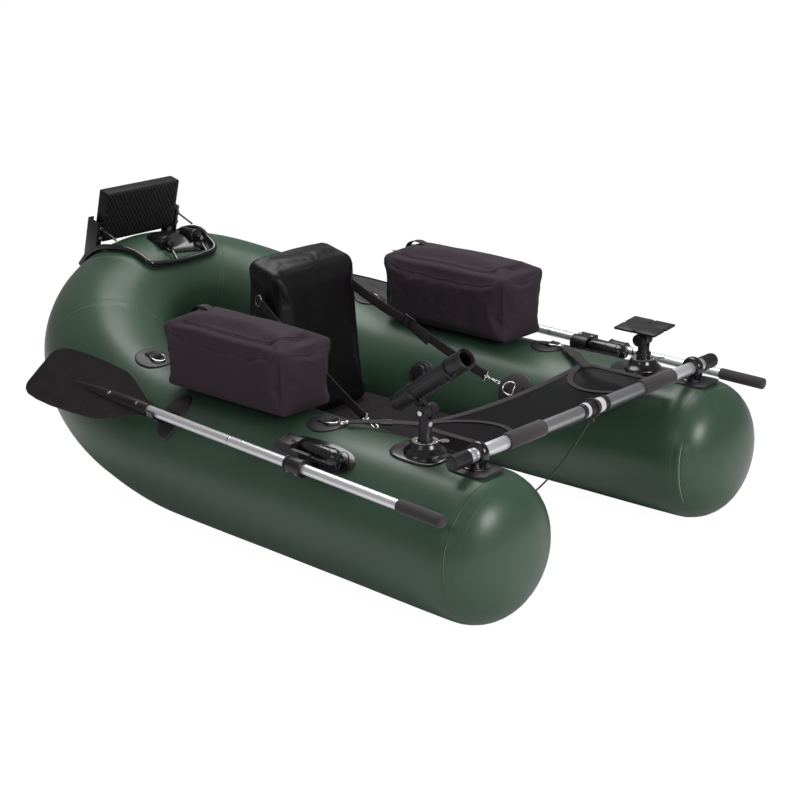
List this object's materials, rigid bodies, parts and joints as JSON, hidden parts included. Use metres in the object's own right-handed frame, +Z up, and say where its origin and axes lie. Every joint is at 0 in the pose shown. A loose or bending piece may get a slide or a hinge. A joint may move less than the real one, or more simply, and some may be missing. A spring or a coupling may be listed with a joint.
{
  "type": "float tube",
  "caption": "U-shaped inflatable one-man float tube with seat, backrest, side bags, stowed oars, stripping crossbar, rod holder, sounder plate and stern motor board.",
  "frame": {"origin": "on the ground, midway between the two pontoons, 0.17 m in front of the middle of the overall length", "axes": "+Z up, +Y towards the raised stern and the motor board, -Y out of the open end between the two tips, -X the side nearer the camera of the picture"},
  "size_m": [1.2798, 1.8024, 0.6872],
  "materials": {
    "hull_fabric": "satin",
    "patch_rubber": "matte",
    "seat_fabric": "matte",
    "bag_fabric": "matte",
    "mesh_fabric": "matte",
    "webbing": "matte",
    "cord": "matte",
    "bar_tube": "satin",
    "bar_foam": "matte",
    "bar_plastic": "satin",
    "oar_tube": "satin",
    "oar_grip": "matte",
    "oar_blade": "satin",
    "lock_plastic": "gloss",
    "fitting_plastic": "satin",
    "port_lever": "gloss",
    "mount_rod": "gloss",
    "mount_plastic": "gloss",
    "mount_board": "matte",
    "valve_plastic": "satin",
    "zip_metal": "satin"
  },
  "bodies": {
    "hull": {"apron": "mesh_fabric", "backrest_strap_left": "webbing", "backrest_strap_right": "webbing", "bag_left": "bag_fabric", "bag_right": "bag_fabric", "crossbar_holder_left": "bar_plastic", "crossbar_holder_right": "bar_plastic", "front_ring_patch_left": "patch_rubber", "front_ring_patch_right": "patch_rubber", "hull_tube": "hull_fabric", "inner_ring_patch_left": "patch_rubber", "inner_ring_patch_right": "patch_rubber", "lanyard": "cord", "mount_board": "mount_board", "mount_frame": "mount_rod", "mount_socket_pad": "mount_plastic", "mount_upright_left": "mount_plastic", "mount_upright_right": "mount_plastic", "oar_clip_left": "lock_plastic", "oar_clip_right": "lock_plastic", "oarlock_base_left": "lock_plastic", "oarlock_base_right": "lock_plastic", "rear_ring_patch_left": "patch_rubber", "rear_ring_patch_right": "patch_rubber", "rod_holder_base": "fitting_plastic", "seat_backrest": "seat_fabric", "seat_cushion": "seat_fabric", "sounder_base": "fitting_plastic", "valve_seat_left": "valve_plastic", "valve_seat_right": "valve_plastic"},
    "crossbar": {"crossbar_tube": "bar_tube", "crossbar_sleeve": "bar_plastic", "crossbar_grip_left": "bar_foam", "crossbar_grip_right": "bar_foam", "crossbar_cap_left": "bar_plastic", "crossbar_cap_right": "bar_plastic"},
    "oarlock_left": {"oarlock_head_left": "lock_plastic"},
    "collar_left": {"oar_collar_left": "lock_plastic"},
    "oar_left": {"oar_shaft_left": "oar_tube", "oar_blade_left": "oar_blade", "oar_grip_left": "oar_grip"},
    "oarlock_right": {"oarlock_head_right": "lock_plastic"},
    "collar_right": {"oar_collar_right": "lock_plastic"},
    "oar_right": {"oar_shaft_right": "oar_tube", "oar_blade_right": "oar_blade", "oar_grip_right": "oar_grip"},
    "rod_holder_post": {"rod_holder_post": "fitting_plastic"},
    "rod_tube": {"rod_holder_tube": "fitting_plastic"},
    "rod_holder_knob": {"rod_holder_knob": "fitting_plastic"},
    "rod_holder_port_lever": {"rod_holder_port_lever": "port_lever"},
    "sounder_post": {"sounder_post": "fitting_plastic"},
    "sounder_plate": {"sounder_plate": "fitting_plastic"},
    "sounder_knob": {"sounder_knob": "fitting_plastic"},
    "sounder_port_lever": {"sounder_port_lever": "port_lever"},
    "valve_cap_left": {"valve_cap_left": "valve_plastic"},
    "zip_slider_left": {"zip_slider_left": "zip_metal"},
    "valve_cap_right": {"valve_cap_right": "valve_plastic"},
    "zip_slider_right": {"zip_slider_right": "zip_metal"}
  },
  "joints": [
    {"name": "crossbar_turn", "type": "hinge", "parent": "hull", "child": "crossbar", "pos_m": [0, -0.601, 0.379], "axis": [1, 0, 0], "continuous": true},
    {"name": "oarlock_lift_left", "type": "hinge", "parent": "hull", "child": "oarlock_left", "pos_m": [-0.53341, -0.1779, 0.33294], "axis": [-0.0363, -0.999, -0.0266], "range_deg": [-58, 0]},
    {"name": "oar_swing_left", "type": "hinge", "parent": "oarlock_left", "child": "collar_left", "pos_m": [-0.603, -0.248, 0.316], "axis": [0.9993, -0.0363, 0], "range_deg": [0, 42]},
    {"name": "oar_feather_left", "type": "hinge", "parent": "collar_left", "child": "oar_left", "pos_m": [-0.603, -0.248, 0.316], "axis": [0.0363, 0.999, 0.0266], "range_deg": [-60, 0]},
    {"name": "oarlock_lift_right", "type": "hinge", "parent": "hull", "child": "oarlock_right", "pos_m": [0.53341, -0.1779, 0.33294], "axis": [-0.0363, 0.999, 0.0266], "range_deg": [-58, 0]},
    {"name": "oar_swing_right", "type": "hinge", "parent": "oarlock_right", "child": "collar_right", "pos_m": [0.603, -0.248, 0.316], "axis": [0.9993, 0.0363, 0], "range_deg": [0, 42]},
    {"name": "oar_feather_right", "type": "hinge", "parent": "collar_right", "child": "oar_right", "pos_m": [0.603, -0.248, 0.316], "axis": [0.0363, -0.999, -0.0266], "range_deg": [-60, 0]},
    {"name": "rod_holder_swivel", "type": "hinge", "parent": "hull", "child": "rod_holder_post", "pos_m": [-0.41344, -0.455, 0.38], "axis": [0, 0, 1], "continuous": true},
    {"name": "rod_tube_tilt", "type": "hinge", "parent": "rod_holder_post", "child": "rod_tube", "pos_m": [-0.41344, -0.455, 0.44], "axis": [1, 0, 0], "range_deg": [-50, 50]},
    {"name": "rod_holder_knob_turn", "type": "hinge", "parent": "rod_holder_post", "child": "rod_holder_knob", "pos_m": [-0.41344, -0.455, 0.44], "axis": [1, 0, 0], "continuous": true},
    {"name": "rod_holder_port_lever_turn", "type": "hinge", "parent": "hull", "child": "rod_holder_port_lever", "pos_m": [-0.40229, -0.47597, 0.3763], "axis": [0, 0, 1], "range_deg": [-100, 100]},
    {"name": "sounder_swivel", "type": "hinge", "parent": "hull", "child": "sounder_post", "pos_m": [0.41344, -0.455, 0.38], "axis": [0, 0, 1], "continuous": true},
    {"name": "sounder_plate_tilt", "type": "hinge", "parent": "sounder_post", "child": "sounder_plate", "pos_m": [0.41344, -0.455, 0.424], "axis": [1, 0, 0], "range_deg": [-70, 70]},
    {"name": "sounder_knob_turn", "type": "hinge", "parent": "sounder_post", "child": "sounder_knob", "pos_m": [0.41344, -0.455, 0.424], "axis": [1, 0, 0], "continuous": true},
    {"name": "sounder_port_lever_turn", "type": "hinge", "parent": "hull", "child": "sounder_port_lever", "pos_m": [0.42459, -0.47597, 0.3763], "axis": [0, 0, 1], "range_deg": [-100, 100]},
    {"name": "valve_cap_turn_left", "type": "hinge", "parent": "hull", "child": "valve_cap_left", "pos_m": [-0.23792, 0.12274, 0.25445], "axis": [0.8905, -0.0301, 0.454], "continuous": true},
    {"name": "valve_cap_turn_right", "type": "hinge", "parent": "hull", "child": "valve_cap_right", "pos_m": [0.23792, 0.12274, 0.25445], "axis": [-0.8905, -0.0301, 0.454], "continuous": true},
    {"name": "zip_slide_left", "type": "slide", "parent": "hull", "child": "zip_slider_left", "axis": [0, -1, 0], "range_m": [0, 0.3]},
    {"name": "zip_slide_right", "type": "slide", "parent": "hull", "child": "zip_slider_right", "axis": [0, -1, 0], "range_m": [0, 0.3]}
  ]
}
